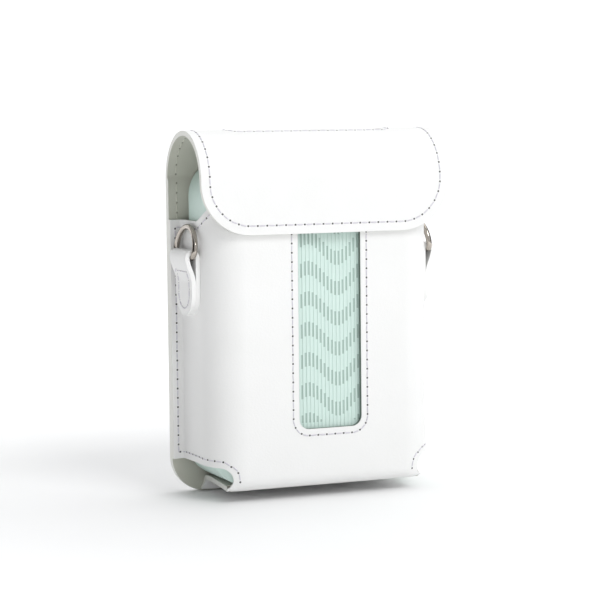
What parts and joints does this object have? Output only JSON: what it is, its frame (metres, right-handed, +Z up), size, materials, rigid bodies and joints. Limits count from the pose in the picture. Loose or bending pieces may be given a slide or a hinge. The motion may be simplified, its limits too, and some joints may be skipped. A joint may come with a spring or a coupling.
{
  "type": "instant photo printer in a carrying case",
  "caption": "Pocket instant photo printer in a stitched leather case with a snap flap, a film slot, a front window and D-rings for a strap.",
  "frame": {"origin": "middle of the bounding box's base, level with the back panel's lower edge", "axes": "+X to the viewer's right across the front, -Y out of the front, +Z up"},
  "size_m": [0.106, 0.0412, 0.1431],
  "materials": {
    "case_leather": "coated, fine grain",
    "case_lining": "microfibre",
    "case_board": "plain",
    "magnet": "satin",
    "ring_wire": "polished, warm nickel",
    "housing_mint": "fine matt",
    "button_white": "fine matt",
    "light_clear": "frosted",
    "cartridge_black": "matt",
    "film_white": "gloss face",
    "steel_sheet": "zinc plated",
    "steel_screw": "blackened",
    "roller_rubber": "matt",
    "gear_white": "semi-matt",
    "board_green": "solder mask",
    "chip_black": "matt",
    "battery_foil": "foil pouch"
  },
  "bodies": {
    "case": {"back_leather": "case_leather", "back_board": "case_board", "back_lining": "case_lining", "pocket_leather": "case_leather", "pocket_lining": "case_lining", "pocket_magnet": "magnet", "tab_left": "case_leather", "tab_right": "case_leather", "front_housing": "housing_mint", "rear_housing": "housing_mint", "film_door": "housing_mint", "door_pins": "steel_screw", "housing_screws": "steel_screw", "light_pipe": "light_clear", "charging_socket": "steel_sheet", "main_board": "board_green", "board_chips": "chip_black", "battery": "battery_foil", "film_cartridge": "cartridge_black", "film_stack": "film_white", "door_springs": "steel_sheet", "chassis": "steel_sheet", "print_head": "chip_black", "motor": "steel_sheet"},
    "flap": {"flap_leather": "case_leather", "flap_lining": "case_lining", "flap_magnet": "magnet"},
    "ring_left": {"d_ring_left": "ring_wire"},
    "ring_right": {"d_ring_right": "ring_wire"},
    "film_sheet": {"film_sheet": "film_white"},
    "front_roller": {"front_roller_shaft": "steel_sheet", "front_roller_rubber": "roller_rubber", "front_roller_gear": "gear_white"},
    "rear_roller": {"rear_roller_shaft": "steel_sheet", "rear_roller_rubber": "roller_rubber", "rear_roller_gear": "gear_white"},
    "reduction_gear": {"reduction_gear": "gear_white"},
    "motor_pinion": {"motor_pinion": "gear_white"},
    "power_button": {"power_button": "button_white"},
    "function_button": {"function_button": "button_white"},
    "door_latch": {"door_latch": "button_white"}
  },
  "joints": [
    {"name": "flap_hinge", "type": "hinge", "parent": "case", "child": "flap", "pos_m": [0, 0.02065, 0.1231], "axis": [-1, 0, 0], "range_deg": [0, 165]},
    {"name": "ring_left_swing", "type": "hinge", "parent": "case", "child": "ring_left", "pos_m": [-0.05007, 0.0036, 0.0945], "axis": [0, -1, 0], "range_deg": [0, 130]},
    {"name": "ring_right_swing", "type": "hinge", "parent": "case", "child": "ring_right", "pos_m": [0.05007, 0.0036, 0.0945], "axis": [0, 1, 0], "range_deg": [0, 130]},
    {"name": "film_eject", "type": "slide", "parent": "case", "child": "film_sheet", "axis": [0, 0, 1], "range_m": [0, 0.086]},
    {"name": "front_roller_spin", "type": "hinge", "parent": "case", "child": "front_roller", "pos_m": [0, -0.00467, 0.1106], "axis": [1, 0, 0], "range_deg": [0, 1231.98]},
    {"name": "rear_roller_spin", "type": "hinge", "parent": "case", "child": "rear_roller", "pos_m": [0, 0.00367, 0.1106], "axis": [1, 0, 0], "range_deg": [-1231.98, 0]},
    {"name": "reduction_spin", "type": "hinge", "parent": "case", "child": "reduction_gear", "pos_m": [0, -0.00232, 0.09725], "axis": [1, 0, 0], "range_deg": [-547.55, 0]},
    {"name": "pinion_spin", "type": "hinge", "parent": "case", "child": "motor_pinion", "pos_m": [0, -0.0087, 0.0865], "axis": [1, 0, 0], "range_deg": [0, 1642.64]},
    {"name": "power_press", "type": "slide", "parent": "case", "child": "power_button", "axis": [0, 1, 0], "range_m": [0, 0.0006], "stiffness_N_per_m": 600, "springref_m": -0.0006},
    {"name": "function_press", "type": "slide", "parent": "case", "child": "function_button", "axis": [-1, 0, 0], "range_m": [0, 0.0006], "stiffness_N_per_m": 600, "springref_m": -0.0006},
    {"name": "latch_slide", "type": "slide", "parent": "case", "child": "door_latch", "axis": [1, 0, 0], "range_m": [0, 0.003]}
  ],
  "couplings": [
    {"joint": "front_roller_spin", "follows": "film_eject", "rad_per_m": 250},
    {"joint": "rear_roller_spin", "follows": "film_eject", "rad_per_m": -250},
    {"joint": "reduction_spin", "follows": "film_eject", "rad_per_m": -111.11},
    {"joint": "pinion_spin", "follows": "film_eject", "rad_per_m": 333.33}
  ]
}
